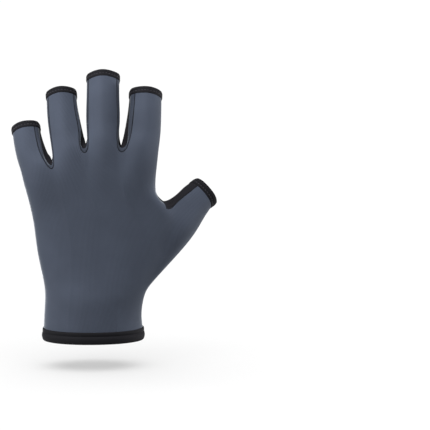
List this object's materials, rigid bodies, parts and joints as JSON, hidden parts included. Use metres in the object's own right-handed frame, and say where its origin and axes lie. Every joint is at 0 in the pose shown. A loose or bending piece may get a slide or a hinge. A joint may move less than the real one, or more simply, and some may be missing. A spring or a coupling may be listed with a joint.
{
  "type": "rugby glove",
  "caption": "Fingerless grip glove for the left hand, in worn shape: grey cloth back, black palm, bound finger ends and a banded wrist opening.",
  "frame": {"origin": "middle of the wrist opening, in the plane of the cuff's edge", "axes": "+Z from the wrist to the fingertips, +Y out of the palm, +X towards the thumb; the back of the glove faces -Y"},
  "size_m": [0.1497, 0.0557, 0.1982],
  "materials": {
    "grey_cloth": "matte stretch knit",
    "black_cloth": "matte stretch knit",
    "black_hem": "matte ribbed knit"
  },
  "bodies": {
    "root": {"back_panel": "grey_cloth", "side_strip_little_ring": "grey_cloth", "side_strip_ring_middle": "grey_cloth", "side_strip_middle_index": "grey_cloth", "palm_panel": "black_cloth", "little_finger_hem": "black_hem", "ring_finger_hem": "black_hem", "middle_finger_hem": "black_hem", "index_finger_hem": "black_hem", "thumb_hem": "black_hem", "cuff_hem": "black_hem"}
  },
  "joints": []
}
